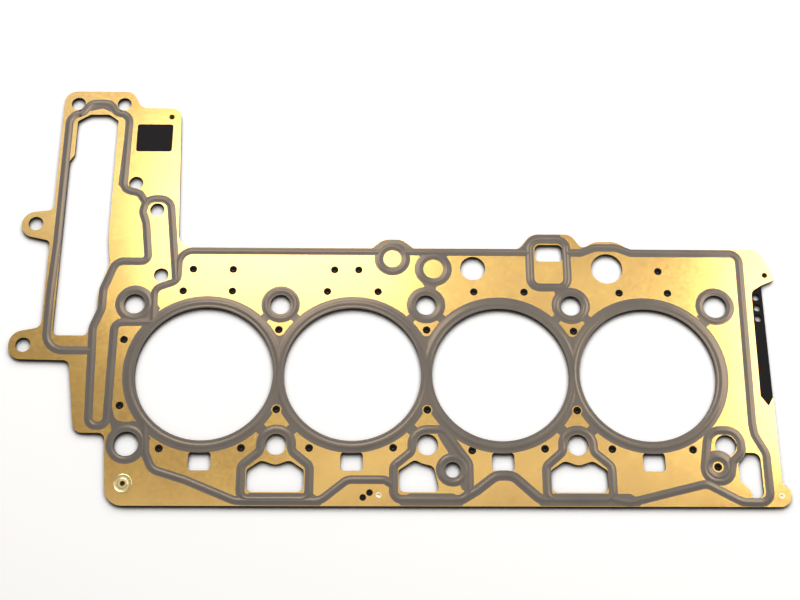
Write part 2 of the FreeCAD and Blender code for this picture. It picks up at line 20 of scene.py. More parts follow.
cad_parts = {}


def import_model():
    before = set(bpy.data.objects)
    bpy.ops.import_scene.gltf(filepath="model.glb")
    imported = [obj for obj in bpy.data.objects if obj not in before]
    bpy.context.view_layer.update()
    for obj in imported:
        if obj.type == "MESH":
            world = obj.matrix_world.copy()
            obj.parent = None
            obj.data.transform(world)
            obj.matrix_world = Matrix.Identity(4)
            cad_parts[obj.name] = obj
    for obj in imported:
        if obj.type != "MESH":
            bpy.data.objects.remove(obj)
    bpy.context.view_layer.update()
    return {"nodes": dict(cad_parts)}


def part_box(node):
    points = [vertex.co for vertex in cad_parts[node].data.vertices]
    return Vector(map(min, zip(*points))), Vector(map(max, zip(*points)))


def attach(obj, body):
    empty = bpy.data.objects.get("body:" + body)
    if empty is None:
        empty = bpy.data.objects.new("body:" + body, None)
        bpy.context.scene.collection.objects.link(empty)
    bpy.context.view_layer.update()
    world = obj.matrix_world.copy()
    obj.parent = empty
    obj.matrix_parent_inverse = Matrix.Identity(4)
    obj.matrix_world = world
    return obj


LOG = logging.getLogger("gasket")
MM = 0.001
UP = Vector((0.0, 0.0, 1.0))
# Sockets of a mix node that blends two colours
MIX_A, MIX_B, MIX_RESULT = 6, 7, 2

Corner = tuple[float, float, float]


class Face(Enum):
    """The two coated faces of the gasket."""

    UPPER = "upper"
    LOWER = "lower"


# Small helpers

def linear(colour: str) -> tuple[float, float, float, float]:
    """Turn an sRGB hex colour into linear light, by the standard's own curve.

    Args:
        colour: Six hex digits, such as "c8a264".

    Returns:
        Red, green, blue and an alpha of one.
    """
    parts = [int(colour[i:i + 2], 16) / 255 for i in (0, 2, 4)]
    red, green, blue = (c / 12.92 if c <= 0.04045 else ((c + 0.055) / 1.055) ** 2.4 for c in parts)
    return red, green, blue, 1.0


def set_inputs(
    tree: bpy.types.NodeTree,
    node: bpy.types.Node,
    values: dict[str | int, object] | None = None,
    links: dict[str | int, bpy.types.NodeSocket] | None = None,
) -> None:
    """Set some inputs of a node and link others.

    Args:
        tree: The tree that the node is in.
        node: The node.
        values: Unlinked inputs by name or number.
        links: Inputs by name or number, each with the socket that feeds it.
    """
    for name, value in (values or {}).items():
        node.inputs[name].default_value = value
    for name, socket in (links or {}).items():
        tree.links.new(socket, node.inputs[name])


def add_node(
    tree: bpy.types.NodeTree,
    kind: str,
    settings: dict[str, object] | None = None,
    values: dict[str | int, object] | None = None,
    links: dict[str | int, bpy.types.NodeSocket] | None = None,
) -> bpy.types.Node:
    """Add one shader node.

    Args:
        tree: The tree that it goes into.
        kind: The node's type name, without the ShaderNode that all of them start with.
        settings: Properties of the node.
        values: Unlinked inputs by name or number.
        links: Inputs by name or number, each with the socket that feeds it.

    Returns:
        The new node.
    """
    node = tree.nodes.new(f"ShaderNode{kind}")
    for name, value in (settings or {}).items():
        setattr(node, name, value)
    set_inputs(tree, node, values, links)
    return node


def new_material(name: str) -> tuple[bpy.types.Material, bpy.types.Node]:
    """Start a material.

    Args:
        name: Its name.

    Returns:
        The material and its shader.
    """
    material = bpy.data.materials.new(name)
    material.use_nodes = True
    return material, material.node_tree.nodes["Principled BSDF"]


def pattern_scale(size_mm: float) -> float:
    """Work out a pattern's scale.

    Args:
        size_mm: Real width of one of its features in millimetres.

    Returns:
        Features per metre.
    """
    return 1 / (size_mm * MM)


def of_kind(kind: type, geom: list) -> list:
    """Pick the items of one kind out of mixed mesh geometry.

    Args:
        kind: Type of vertex, edge or face.
        geom: The geometry.

    Returns:
        The items, in their order.
    """
    return [item for item in geom if isinstance(item, kind)]


def once_each(items: Iterable) -> list:
    """Drop repeats from mesh geometry and keep its order, which a set would lose.

    Args:
        items: The items, some of them more than once.

    Returns:
        Each item once, in the order that they first come in.
    """
    return list(dict.fromkeys(items))


# Filleted paths

# A smaller turn (radians) isn't a corner, and a shorter run (millimetres) is left out
STRAIGHT = 1e-4
NO_LENGTH = 1e-5


@dataclass(frozen=True)
class Piece:
    """One stretch of a path: a straight run, or an arc where centre is set."""

    start: Vector
    end: Vector
    centre: Vector | None = None
    angle: float = 0.0


@dataclass(frozen=True)
class Path:
    """Corner points with a fillet radius each, in millimetres."""

    corners: tuple[Corner, ...]
    closed: bool = False

    def pieces(self) -> list[Piece]:
        """Work out the straight runs and arcs.

        Returns:
            The pieces in order, each starting where the one before ends.
        """
        count = len(self.corners)
        marks: list[tuple[Vector, Vector, Vector | None, float]] = []
        for i, (x, y, radius) in enumerate(self.corners):
            here = Vector((x, y, 0.0))
            if not self.closed and i in (0, count - 1):
                marks.append((here, here, None, 0.0))
                continue
            back = (Vector((*self.corners[i - 1][:2], 0.0)) - here).normalized()
            ahead = (Vector((*self.corners[(i + 1) % count][:2], 0.0)) - here).normalized()
            half = back.angle(ahead) / 2
            if radius <= 0 or math.pi / 2 - half < STRAIGHT:
                marks.append((here, here, None, 0.0))
                continue
            cut = radius / math.tan(half)
            centre = here + (back + ahead).normalized() * (radius / math.sin(half))
            turn = math.copysign(math.pi - 2 * half, (-back).cross(ahead).z)
            marks.append((here + back * cut, here + ahead * cut, centre, turn))
        pieces: list[Piece] = []
        for i in range(count if self.closed else count - 1):
            leave = marks[i][1]
            arrive, depart, centre, turn = marks[(i + 1) % count]
            if (arrive - leave).length > NO_LENGTH:
                pieces.append(Piece(leave, arrive))
            if centre is not None:
                pieces.append(Piece(arrive, depart, centre, turn))
        return pieces


@dataclass(frozen=True)
class Section:
    """Section of a printed track, square to its path, in millimetres.

    The flat wings lie on the sheet and the hump covers the embossed bead: it reaches a flank
    past it on each side and clears its crest by a small gap. A lip is a fine ridge on the left
    wing, where the print runs up on the stopper below the sheet.
    """

    left: float = 2.5
    right: float = 2.5
    bead_width: float = 2.4
    bead_height: float = 0.22
    coat: float = 0.03
    sink: float = 0.05
    segments: int = 6
    lip: float = 0.0
    lip_width: float = 0.9
    lip_inset: float = 0.45
    flank: float = 0.12
    crest_gap: float = 0.008

    def points(self, lift: float) -> list[tuple[float, float]]:
        """Corner points round the section.

        Args:
            lift: Extra height that keeps crossing tracks from sharing a plane.

        Returns:
            Pairs of distance to the left of the path and height above the sheet.
        """
        top = self.coat + lift
        half = self.bead_width / 2 + self.flank
        rise = self.bead_height + self.crest_gap
        radius = (half * half + rise * rise) / (2 * rise)
        sweep = 2 * math.asin(half / radius)
        crown = []
        for i in range(self.segments + 1):
            angle = sweep * (i / self.segments - 0.5)
            crown.append((-radius * math.sin(angle), top + rise - radius * (1 - math.cos(angle))))
        ridge = []
        if self.lip:
            foot = self.left - self.lip_inset
            ridge = [(foot, top), (foot - self.lip_width / 2, top + self.lip),
                     (foot - self.lip_width, top)]
        return [(self.left, -self.sink), (self.left, top), *ridge, *crown,
                (-self.right, top), (-self.right, -self.sink)]


@dataclass
class Coat:
    """Mesh of one printed face while it is being built, in millimetres and degrees."""

    bm: bmesh.types.BMesh = field(default_factory=bmesh.new)
    lift: float = 0.0
    lift_step: float = 0.0005
    sink: float = 0.05
    field_top: float = 0.022
    # Largest turn of a step in tracks and fields, and half a ring's steps: per mm and at least
    track_turn: float = 7.5
    field_turn: float = 15.0
    ring_density: float = 1.5
    ring_least: int = 20
    # Distances within which points are joined, lie on a cut, or belong to a seam between rings
    track_weld: float = 0.0005
    wall_weld: float = 0.001
    weld: float = 0.002
    on_cut: float = 1e-4
    on_seam: float = 1e-3
    sharp: float = 50.0

    def next_lift(self) -> float:
        """Raise the height for the next track, a hair above the last.

        Returns:
            The new height.
        """
        self.lift += self.lift_step
        return self.lift

    @staticmethod
    def _steps(angle: float, turn: float) -> int:
        """Count the steps that an arc is drawn in.

        Args:
            angle: The whole arc in radians.
            turn: Largest turn of one step in degrees.

        Returns:
            The number of steps.
        """
        return max(2, math.ceil(abs(angle) / math.radians(turn)))

    def _spin(self, geom: list, centre: Vector, angle: float, steps: int,
              merge: bool = False) -> list:
        """Turn edges or vertices about an upright axis, and leave a mesh behind them.

        Args:
            geom: The edges or vertices.
            centre: A point of the axis.
            angle: The turn in radians.
            steps: Number of steps.
            merge: Whether the end joins the start.

        Returns:
            The geometry at the end of the turn.
        """
        return bmesh.ops.spin(self.bm, geom=geom, cent=centre, axis=UP, dvec=(0, 0, 0),
                              angle=angle, steps=steps, use_merge=merge,
                              use_normal_flip=False, use_duplicate=False)["geom_last"]

    def _section_loop(self, start: Vector, heading: Vector, section: Section,
                      lift: float) -> list[bmesh.types.BMEdge]:
        """Lay a section's outline across a path.

        Args:
            start: Point of the path.
            heading: Direction of the path there.
            section: The section.
            lift: Its extra height.

        Returns:
            The edges of the outline.
        """
        side = UP.cross(heading).normalized()
        verts = [self.bm.verts.new(start + side * across + UP * height)
                 for across, height in section.points(lift)]
        return [self.bm.edges.new((verts[i - 1], verts[i])) for i in range(len(verts))]

    def _sweep(self, loop: list[bmesh.types.BMEdge], piece: Piece) -> list[bmesh.types.BMEdge]:
        """Carry a section along one piece of a path.

        Args:
            loop: Edges of the section at the piece's start.
            piece: The straight run or arc.

        Returns:
            Edges of the section at the piece's end.
        """
        if piece.centre is None:
            grown = bmesh.ops.extrude_edge_only(self.bm, edges=loop)["geom"]
            verts = of_kind(bmesh.types.BMVert, grown)
            bmesh.ops.translate(self.bm, verts=verts, vec=piece.end - piece.start)
            ring = set(verts)
            return [edge for edge in of_kind(bmesh.types.BMEdge, grown)
                    if edge.verts[0] in ring and edge.verts[1] in ring]
        last = self._spin(loop, piece.centre, piece.angle,
                          self._steps(piece.angle, self.track_turn))
        return of_kind(bmesh.types.BMEdge, last)

    def track(self, path: Path, section: Section) -> None:
        """Print one track along a path.

        Args:
            path: Centre line of the bead.
            section: Section of the print.
        """
        pieces = path.pieces()
        first = pieces[0]
        heading = first.end - first.start
        if first.centre is not None:
            heading = UP.cross(first.start - first.centre) * math.copysign(1, first.angle)
        start = self._section_loop(first.start, heading, section, self.next_lift())
        loop = start
        for piece in pieces:
            loop = self._sweep(loop, piece)
        if path.closed:
            ends = once_each(vert for edge in (*start, *loop) for vert in edge.verts)
            bmesh.ops.remove_doubles(self.bm, verts=ends, dist=self.track_weld)
        else:
            bmesh.ops.edgeloop_fill(self.bm, edges=start)
            bmesh.ops.edgeloop_fill(self.bm, edges=loop)

    def ring(self, x: float, y: float, radius: float, section: Section) -> None:
        """Print a ring round a hole.

        Args:
            x: Centre along the row.
            y: Centre across it.
            radius: Radius of the bead's crest.
            section: Section, whose left side faces the hole.
        """
        self._full_ring(Vector((x, y, 0.0)), radius, section, self.next_lift())

    def _full_ring(self, centre: Vector, radius: float, section: Section,
                   lift: float) -> list[bmesh.types.BMVert]:
        """Turn a section right round a centre.

        Args:
            centre: The ring's centre.
            radius: Radius of the bead's crest.
            section: The section.
            lift: Its extra height.

        Returns:
            The ring's vertices.
        """
        known = set(self.bm.verts)
        start = centre + Vector((radius, 0.0, 0.0))
        loop = self._section_loop(start, Vector((0.0, 1.0, 0.0)), section, lift)
        steps = 2 * max(self.ring_least, round(radius * self.ring_density))
        self._spin(loop, centre, 2 * math.pi, steps, merge=True)
        return [vert for vert in self.bm.verts if vert not in known]

    def ring_row(self, middles: list[float], radius: float, section: Section) -> None:
        """Print a row of rings that run together halfway between their centres.

        Args:
            middles: X of each centre, from left to right.
            radius: Radius of the beads' crests.
            section: Section, whose left side faces the hole.
        """
        lift = self.next_lift()
        webs = [(one + two) / 2 for one, two in zip(middles, middles[1:])]
        for i, x in enumerate(middles):
            verts = self._full_ring(Vector((x, 0.0, 0.0)), radius, section, lift)
            limits = [(web, -1.0) for web in webs[i - 1:i] if i > 0]
            limits += [(web, 1.0) for web in webs[i:i + 1]]
            geom = once_each((*verts, *(e for v in verts for e in v.link_edges),
                              *(f for v in verts for f in v.link_faces)))
            for web, outward in limits:
                cut = bmesh.ops.bisect_plane(self.bm, geom=geom, dist=self.on_cut,
                                             plane_co=(web, 0, 0), plane_no=(outward, 0, 0),
                                             clear_outer=True, clear_inner=False)
                geom = [item for item in cut["geom"] if item.is_valid]
        seam = [v for v in self.bm.verts if min(abs(v.co.x - web) for web in webs) < self.on_seam]
        bmesh.ops.remove_doubles(self.bm, verts=seam, dist=self.weld)

    def patch(self, corners: tuple[Corner, ...]) -> None:
        """Print a flat field with rounded corners.

        Args:
            corners: Its corners in order, with a fillet radius each.
        """
        pieces = Path(corners, closed=True).pieces()
        down = UP * self.sink
        known = set(self.bm.edges)
        first = self.bm.verts.new(pieces[0].start - down)
        last = first
        for piece in pieces:
            if piece.centre is None:
                last = bmesh.ops.extrude_vert_indiv(self.bm, verts=[last])["verts"][0]
                last.co = piece.end - down
                continue
            ends = self._spin([last], piece.centre - down, piece.angle,
                              self._steps(piece.angle, self.field_turn))
            last = of_kind(bmesh.types.BMVert, ends)[0]
        bmesh.ops.remove_doubles(self.bm, verts=[first, last], dist=self.weld)
        outline = [edge for edge in self.bm.edges if edge not in known]
        faces = bmesh.ops.edgeloop_fill(self.bm, edges=outline)["faces"]
        grown = bmesh.ops.extrude_face_region(self.bm, geom=faces)["geom"]
        bmesh.ops.translate(self.bm, verts=of_kind(bmesh.types.BMVert, grown),
                            vec=UP * (self.field_top + self.sink))

    def clear(self, x: float, y: float, radius: float, sides: int = 16,
              reach: float = 3.0) -> None:
        """Take the print away round a small hole that it would cover.

        Args:
            x: Centre along the row.
            y: Centre across it.
            radius: Radius of the bare circle.
            sides: Number of cuts round it.
            reach: How far past the circle faces are cut.
        """
        middle = Vector((x, y, 0.0))
        normals = [Matrix.Rotation(2 * math.pi * i / sides, 3, "Z") @ Vector((1.0, 0.0, 0.0))
                   for i in range(sides)]
        near = [f for f in self.bm.faces
                if min((v.co.xy - middle.xy).length for v in f.verts) < radius + reach]
        geom = once_each((*near, *(e for f in near for e in f.edges),
                          *(v for f in near for v in f.verts)))
        for normal in normals:
            geom = bmesh.ops.bisect_plane(self.bm, geom=geom, dist=self.on_cut,
                                          plane_co=middle + normal * radius, plane_no=normal,
                                          clear_outer=False, clear_inner=False)["geom"]
        inside = []
        for item in of_kind(bmesh.types.BMFace, geom):
            offset = item.calc_center_median() - middle
            if all(offset.dot(normal) < radius for normal in normals):
                inside.append(item)
        rim = once_each(edge for item in inside for edge in item.edges)
        bmesh.ops.delete(self.bm, geom=inside, context="FACES")
        upper = [edge for edge in rim if edge.is_valid and edge.is_boundary
                 and min(vert.co.z for vert in edge.verts) > 0]
        grown = bmesh.ops.extrude_edge_only(self.bm, edges=upper)["geom"]
        wall = of_kind(bmesh.types.BMVert, grown)
        for vert in wall:
            vert.co.z = -self.sink
        lower = [vert for edge in rim if edge.is_valid for vert in edge.verts]
        bmesh.ops.remove_doubles(self.bm, verts=once_each(wall + lower), dist=self.wall_weld)

    def finish(self, name: str, face: Face, level: float) -> bpy.types.Object:
        """Turn the coat into an object on one face of the gasket.

        Args:
            name: Name of the object.
            face: The face that it is printed on.
            level: Height of that face in millimetres.

        Returns:
            The object, at the origin, with its place in its mesh.
        """
        sign = 1.0 if face is Face.UPPER else -1.0
        place = Matrix.Diagonal((MM, MM, MM * sign, 1.0))
        place.translation = (0.0, 0.0, level * MM)
        bmesh.ops.transform(self.bm, matrix=place, verts=self.bm.verts)
        bmesh.ops.recalc_face_normals(self.bm, faces=self.bm.faces)
        for polygon in self.bm.faces:
            polygon.smooth = True
        mesh = bpy.data.meshes.new(name)
        self.bm.to_mesh(mesh)
        self.bm.free()
        piece = bpy.data.objects.new(name, mesh)
        bpy.context.scene.collection.objects.link(piece)
        mesh.set_sharp_from_angle(angle=math.radians(self.sharp))
        return piece


# Finishes

@dataclass(frozen=True)
class GoldLacquer:
    """Thin gold rubber lacquer on bright spring steel.

    The steel mirrors the lights through the lacquer, so reflections are golden and run from
    near white to brown, and the lacquer adds a clear gloss of its own. Its thickness varies
    a little, which gives cloudy patches, and the rolled steel below gives a fine grain.
    """

    tint: str = "f7cb70"
    thick: str = "dfb064"
    # Bare steel of punched edges, darkened further as painted shade
    edge: str = "3c3630"
    cloud_mm: float = 30.0
    mottle_mm: float = 2.5
    # Rolling grain is nearer 0.1 mm, and is drawn this coarse so that it shows
    grain_mm: float = 0.9

    def build(self) -> bpy.types.Material:
        """Make the material.

        Returns:
            The material.
        """
        material, shader = new_material("gold_lacquered_spring_steel")
        tree = material.node_tree
        place = add_node(tree, "TexCoord").outputs["Object"]
        cloud = add_node(tree, "TexNoise", values={
            "Scale": pattern_scale(self.cloud_mm), "Detail": 3.0, "Roughness": 0.55},
            links={"Vector": place})
        mottle = add_node(tree, "TexNoise", values={
            "Scale": pattern_scale(self.mottle_mm), "Detail": 4.0, "Roughness": 0.7},
            links={"Vector": place})
        grain = add_node(tree, "TexNoise", values={
            "Scale": pattern_scale(self.grain_mm), "Detail": 2.0}, links={"Vector": place})
        both = add_node(tree, "Math", {"operation": "ADD"},
                        links={0: cloud.outputs["Fac"], 1: mottle.outputs["Fac"]})
        spread = add_node(tree, "MapRange", values={
            "From Min": 0.65, "From Max": 1.35}, links={"Value": both.outputs[0]})
        mix = add_node(tree, "Mix", {"data_type": "RGBA"},
                       {MIX_A: linear(self.thick), MIX_B: linear(self.tint)},
                       {"Factor": spread.outputs[0]})
        # Punched edges have no lacquer: upright faces show bare steel, and their near-black colour is
        # also painted shade for the dark bands along the walls of openings
        facing = add_node(tree, "NewGeometry").outputs["True Normal"]
        parts = add_node(tree, "SeparateXYZ", links={"Vector": facing})
        level = add_node(tree, "Math", {"operation": "ABSOLUTE"}, links={0: parts.outputs["Z"]})
        upright = add_node(tree, "Math", {"operation": "LESS_THAN"}, {1: 0.5}, {0: level.outputs[0]})
        bare_edge_and_painted_shade = add_node(tree, "Mix", {"data_type": "RGBA"},
                           {MIX_B: linear(self.edge)},
                           {"Factor": upright.outputs[0], MIX_A: mix.outputs[MIX_RESULT]})
        rough = add_node(tree, "MapRange", values={
            "To Min": 0.17, "To Max": 0.3}, links={"Value": mottle.outputs["Fac"]})
        bump = add_node(tree, "Bump", values={
            "Strength": 0.13, "Distance": 0.02 * MM}, links={"Height": grain.outputs["Fac"]})
        set_inputs(tree, shader, {"Metallic": 1.0, "Coat Weight": 0.9, "Coat Roughness": 0.14},
                   {"Base Color": bare_edge_and_painted_shade.outputs[MIX_RESULT], "Roughness": rough.outputs[0],
                    "Normal": bump.outputs[0]})
        return material


@dataclass(frozen=True)
class SealRubber:
    """Screen-printed elastomer: slate grey, half glossy, a little uneven in thickness.

    The print is so thin that the lacquered steel below it warms its reflections, hence the
    tinted specular and an index above that of plain rubber.
    """

    body: str = "605e5e"
    thin: str = "767068"
    glow_through: str = "ffdcb4"
    cloud_mm: float = 22.0
    # The screen's mesh is nearer 0.1 mm, and is drawn this coarse so that it shows
    mesh_mm: float = 0.7

    def build(self) -> bpy.types.Material:
        """Make the material.

        Returns:
            The material.
        """
        material, shader = new_material("screen_printed_seal_rubber")
        tree = material.node_tree
        place = add_node(tree, "TexCoord").outputs["Object"]
        cloud = add_node(tree, "TexNoise", values={
            "Scale": pattern_scale(self.cloud_mm), "Detail": 4.0}, links={"Vector": place})
        print_grain = add_node(tree, "TexNoise", values={
            "Scale": pattern_scale(self.mesh_mm), "Detail": 1.0}, links={"Vector": place})
        mix = add_node(tree, "Mix", {"data_type": "RGBA"},
                       {MIX_A: linear(self.body), MIX_B: linear(self.thin)},
                       {"Factor": cloud.outputs["Fac"]})
        rough = add_node(tree, "MapRange", values={
            "To Min": 0.16, "To Max": 0.28}, links={"Value": cloud.outputs["Fac"]})
        bump = add_node(tree, "Bump", values={
            "Strength": 0.12, "Distance": 0.02 * MM}, links={"Height": print_grain.outputs["Fac"]})
        set_inputs(tree, shader, {"IOR": 1.78, "Specular Tint": linear(self.glow_through)},
                   {"Base Color": mix.outputs[MIX_RESULT], "Roughness": rough.outputs[0],
                    "Normal": bump.outputs[0]})
        return material


@dataclass(frozen=True)
class Steel:
    """Plain steel finish of a hidden or small piece, with its rolling grain.

    Its roughness varies by a share of itself. A far reflection colour, where it has one, is painted
    reflection
    on what lies behind the row of cylinders: a second tone for what the piece mirrors there.
    """

    name: str
    colour: str
    metallic: float
    roughness: float
    grain_mm: float = 1.5
    spread: float = 0.2
    sheen: float = 0.5
    far_reflection_colour: str = ""

    def build(self) -> bpy.types.Material:
        """Make the material.

        Returns:
            The material.
        """
        material, shader = new_material(self.name)
        tree = material.node_tree
        place = add_node(tree, "TexCoord").outputs["Object"]
        grain = add_node(tree, "TexNoise", values={
            "Scale": pattern_scale(self.grain_mm), "Detail": 3.0}, links={"Vector": place})
        rough = add_node(tree, "MapRange", values={
            "To Min": self.roughness * (1 - self.spread),
            "To Max": self.roughness * (1 + self.spread)}, links={"Value": grain.outputs["Fac"]})
        bump = add_node(tree, "Bump", values={
            "Strength": 0.2, "Distance": 0.03 * MM}, links={"Height": grain.outputs["Fac"]})
        set_inputs(tree, shader, {"Base Color": linear(self.colour), "Metallic": self.metallic,
                                  "Specular IOR Level": self.sheen},
                   {"Roughness": rough.outputs[0], "Normal": bump.outputs[0]})
        # Painted reflection: behind the row the colour turns to the far one
        if self.far_reflection_colour:
            parts = add_node(tree, "SeparateXYZ", links={"Vector": place})
            far = add_node(tree, "Math", {"operation": "GREATER_THAN"}, {1: 0.0}, {0: parts.outputs["Y"]})
            mix = add_node(tree, "Mix", {"data_type": "RGBA"},
                           {MIX_A: linear(self.colour), MIX_B: linear(self.far_reflection_colour)},
                           {"Factor": far.outputs[0]})
            set_inputs(tree, shader, links={"Base Color": mix.outputs[MIX_RESULT]})
        return material


# The gasket's own shapes

@dataclass(frozen=True)
class Deck:
    """Driving sizes of the gasket, in millimetres."""

    pitch: float = 91.0
    cylinders: int = 4
    opening: float = 42.35
    bolt_row: float = 44.5
    bolt: float = 6.5
    dowel: float = 7.5
    bore_bead: float = 45.9
    bolt_bead: float = 9.3
    dowel_bead: float = 9.7
    bore_print: float = 49.8
    bolt_print: float = 12.1
    dowel_print: float = 12.3
    bore_bead_width: float = 3.0
    bore_lip: float = 0.1
    inset: float = 1.2
    back: float = 82.8
    front: float = -81.7
    loop_base: float = -77.6
    bead_height: float = 0.22
    # The print goes a little round the edge of a hole, and ends short of the sheet's own edge
    wrap: float = 0.05
    margin: float = 0.25

    def at(self, station: float, dx: float = 0.0) -> float:
        """X of a point past a station of the cylinder row.

        Args:
            station: Number of pitches from the first cylinder's centre.
            dx: Distance past it.

        Returns:
            The point's X.
        """
        return station * self.pitch + dx

    def shift(self, station: float, corners: list[Corner]) -> tuple[Corner, ...]:
        """Move corners that are counted from a station of the cylinder row.

        Args:
            station: Number of pitches from the first cylinder's centre.
            corners: The corners as seen from there.

        Returns:
            The corners in the frame.
        """
        return tuple((self.at(station, x), y, r) for x, y, r in corners)


@dataclass
class SealPrint:
    """The rubber print of one face: rings, loops and tracks over the beads."""

    deck: Deck
    face: Face
    level: float
    coat: Coat = field(default_factory=Coat)

    def section(self, left: float = 2.6, right: float = 2.6, bead: float = 2.4,
                lip: float = 0.0) -> Section:
        """Section of a track.

        Args:
            left: Its width to the left of the bead's crest.
            right: Its width to the right of it.
            bead: Width of the bead.
            lip: Height of the ridge on its left wing.

        Returns:
            The section.
        """
        return Section(left, right, bead, self.deck.bead_height, lip=lip)

    def hole_ring(self, x: float, y: float, hole: float, bead: float, outer: float) -> None:
        """Print a ring from the edge of a hole outward, over its bead.

        Args:
            x: Centre along the row.
            y: Centre across it.
            hole: Radius of the hole.
            bead: Radius of the bead's crest.
            outer: Radius of the print.
        """
        self.coat.ring(x, y, bead, self.section(bead - hole + self.deck.wrap, outer - bead))

    def cylinder_rings(self) -> None:
        """Rings from each cylinder opening outward, meeting in the webs."""
        deck = self.deck
        section = self.section(deck.bore_bead - deck.opening + deck.wrap,
                               deck.bore_print - deck.bore_bead, deck.bore_bead_width,
                               deck.bore_lip)
        self.coat.ring_row([deck.at(i) for i in range(deck.cylinders)], deck.bore_bead, section)

    def bolt_rings(self) -> None:
        """Rings round the head bolts that have no oil loop."""
        deck = self.deck
        for i in range(deck.cylinders):
            self.hole_ring(deck.at(i - 0.5), deck.bolt_row, deck.bolt, deck.bolt_bead,
                           deck.bolt_print)
        for x, y in ((deck.at(deck.cylinders - 0.5), deck.bolt_row),
                     (deck.at(-0.5, deck.inset), -deck.bolt_row)):
            self.hole_ring(x, y, deck.dowel, deck.dowel_bead, deck.dowel_print)

    def small_rings(self) -> None:
        """Blind rings at the back, and rings round the oil hole and the keyhole's lower hole."""
        deck = self.deck
        for station, dx, y, radius, left, right, bead in (
                (1, 24.4, 75.6, 8.6, 2.9, 2.8, 2.4), (1.5, 4.8, 68.8, 8.9, 2.6, 2.9, 2.4),
                (1.5, 15.1, -59.8, 7.7, 3.0, 2.5, 2.4), (3, 38.4, -57.7, 6.2, 2.9, 4.0, 1.8)):
            self.coat.ring(deck.at(station, dx), y, radius, self.section(left, right, bead))

    def oil_loop(self, half_width: float) -> list[Corner]:
        """Corners of the loop from a bolt hole's arch down round an oil window.

        Args:
            half_width: Half its width at the base.

        Returns:
            The corners, counted from the bolt hole along the row.
        """
        arch = self.deck.bolt_bead
        top = -self.deck.bolt_row + arch
        left = [(-arch, top, arch - 0.05), (-arch, -48.6, 5.0), (-half_width, -57.6, 5.0),
                (-half_width, self.deck.loop_base, 5.0)]
        return left + [(-x, y, r) for x, y, r in reversed(left)]

    def loops(self) -> None:
        """Closed tracks: oil windows, the port window and the keyhole."""
        deck = self.deck
        arch = deck.bolt_bead
        base = deck.loop_base
        crown = -deck.bolt_row + arch
        narrow = [*self.oil_loop(20.4)[:4], (24.9, base, 7.0), (24.9, -56.0, 7.0),
                  (arch + 0.6, crown, 7.0)]
        port = [(20.7, 56.7, 6.0), (44.3, 56.7, 6.0), (44.3, deck.back + 6.5, 6.0),
                (20.7, deck.back + 6.5, 7.0)]
        keyhole = [(43.5 - arch, crown, 8.5), (30.2, -59.0, 7.0), (32.0, -65.6, 7.0),
                   (44.8, -67.0, 7.0), (47.6, -54.6, 4.0), (53.6, -49.0, 7.0), (53.3, crown, 8.5)]
        side = self.section(2.7, 2.7)
        for station, corners in ((0.5, self.oil_loop(20.4)), (1.5, narrow),
                                 (2.5, self.oil_loop(19.7)), (2, port), (3, keyhole)):
            self.coat.track(Path(deck.shift(station, corners), closed=True), side)

    def tracks(self) -> None:
        """Open tracks along the edges, the case flange and between the oil windows."""
        deck = self.deck
        edge = deck.back - 2.5
        base = deck.loop_base
        case = ((-69.7, 13.8, 0), (-98.3, 13.8, 11.0), (-98.6, 50.0, 0), (-97.4, 85.0, 0),
                (-97.2, 177.3, 7.5), (-89.0, 177.6, 5.0), (-84.0, 185.2, 6.0),
                (-71.5, 185.2, 6.0), (-66.5, 177.7, 5.0), (-57.9, 177.4, 7.0),
                (-58.4, 122.8, 6.0), (-47.5, 120.0, 4.0), (-43.4, 113.6, 0))
        flange = ((-20.9, 61.4, 0), (-27.4, 116.2, 7.4), (-43.0, 116.2, 7.0),
                  (-44.8, 107.0, 5.0), (-42.0, 99.0, 8.0), (-38.8, 72.9, 4.0),
                  (-59.0, 72.9, 7.0), (-65.7, 54.0, 8.0), (-65.7, 41.0, 7.0),
                  (-70.2, 29.0, 8.0), (-69.2, 0.0, 0), (-68.0, -33.6, 5.2),
                  (-57.0, -33.6, 5.2), (-57.0, 32.2, 5.0), (-32.6, 32.6, 0))
        front = ((-34.2, -31.0, 0), (-32.6, -50.0, 10.0), (-28.0, -60.0, 8.0),
                 (-8.0, -66.2, 20.0), (22.0, base - 1.0, 12.0),
                 (deck.at(1, -18.5), base - 1.0, 10.0), (deck.at(1, -2.5), -65.9, 8.0),
                 (deck.at(1, 20.0), -65.9, 6.0), (deck.at(1, 25.5), -69.5, 0))
        back_left = ((deck.at(1, 17.0), edge, 0), (-19.4, edge, 8.5), (-19.6, 60.0, 5.0),
                     (-33.8, 54.6, 6.0), (-33.4, 31.6, 0))
        back_middle = ((deck.at(1, 31.5), edge, 0), (deck.at(2, 20.7), edge, 0))
        right = deck.shift(3, [
            (-46.8, edge, 0), (-37.5, edge, 5.0), (-28.5, edge + 3.6, 7.0),
            (-14.8, edge + 3.6, 7.0), (-5.5, edge, 6.0), (63.7, edge, 6.0),
            (61.6, -31.0, 8.0), (62.4, -38.0, 8.0), (68.3, -49.5, 8.0), (68.3, base - 1.4, 6.0),
            (51.5, base - 1.4, 12.0), (30.6, -67.9, 7.0), (-16.0, base - 1.7, 10.0),
            (-26.6, base + 0.4, 0)])
        plain = self.section()
        for corners in (case, flange, front, right):
            self.coat.track(Path(tuple(corners)), plain)
        for corners in (back_left, back_middle):
            self.coat.track(Path(corners), self.section(2.4, 2.4))
        wave = deck.shift(2, [(-25.4, base, 0), (-16.0, -72.0, 6.0), (-4.5, -63.2, 9.0),
                              (5.5, -63.2, 9.0), (21.5, base, 8.0), (28.0, base, 0)])
        self.coat.track(Path(wave), self.section(3.1, 3.1))

